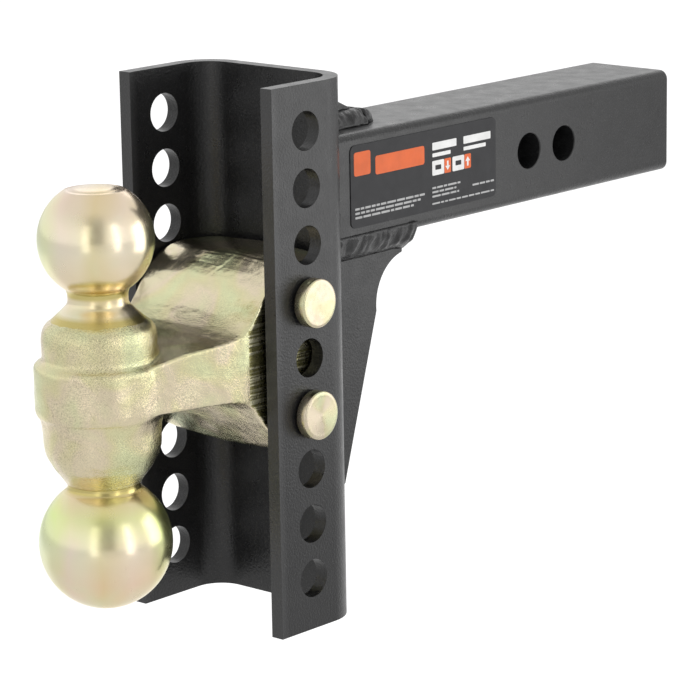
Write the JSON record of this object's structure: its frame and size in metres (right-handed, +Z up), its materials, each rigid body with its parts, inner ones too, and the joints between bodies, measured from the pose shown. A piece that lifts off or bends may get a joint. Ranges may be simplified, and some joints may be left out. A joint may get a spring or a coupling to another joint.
{
  "type": "trailer hitch ball mount",
  "caption": "Adjustable channel ball mount: square shank, drilled channel, and a pinned forging with a large and a small tow ball, turned over or moved up and down to set the height.",
  "frame": {"origin": "centre of the shank's rear cross hole, where the receiver's hitch pin holds the ball mount", "axes": "+X along the cross hole towards the side of the locking pins' heads, +Y along the shank towards the vehicle, +Z up; the balls are on the -Y side"},
  "size_m": [0.1099, 0.4083, 0.2477],
  "materials": {
    "black_coat": "satin powder coat with a fine orange-peel texture",
    "coated_weld": "powder-coated weld bead",
    "zinc_forging": "yellow zinc plated forging, turned balls and rough forged body",
    "zinc_pin": "yellow zinc plated, turned",
    "spring_wire": "bright zinc plated spring wire",
    "label_film": "printed satin film"
  },
  "bodies": {
    "mount": {"channel": "black_coat", "shank": "black_coat", "right_gusset": "black_coat", "left_gusset": "black_coat", "top_gusset": "black_coat", "shank_welds": "coated_weld", "right_gusset_weld": "coated_weld", "left_gusset_weld": "coated_weld", "right_web_weld": "coated_weld", "left_web_weld": "coated_weld", "top_gusset_weld": "coated_weld", "ball_head": "zinc_forging", "label": "label_film"},
    "upper_pin_body": {"upper_pin": "zinc_pin"},
    "lower_pin_body": {"lower_pin": "zinc_pin"},
    "upper_clip_body": {"upper_clip": "spring_wire"},
    "lower_clip_body": {"lower_clip": "spring_wire"}
  },
  "joints": [
    {"name": "upper_pin_play", "type": "slide", "parent": "mount", "child": "upper_pin_body", "axis": [1, 0, 0], "range_m": [-0.0011, 0.001]},
    {"name": "lower_pin_play", "type": "slide", "parent": "mount", "child": "lower_pin_body", "axis": [1, 0, 0], "range_m": [-0.0011, 0.001]},
    {"name": "upper_clip_pull", "type": "slide", "parent": "upper_pin_body", "child": "upper_clip_body", "axis": [0, -1, 0], "range_m": [0, 0.026]},
    {"name": "lower_clip_pull", "type": "slide", "parent": "lower_pin_body", "child": "lower_clip_body", "axis": [0, -1, 0], "range_m": [0, 0.026]}
  ]
}
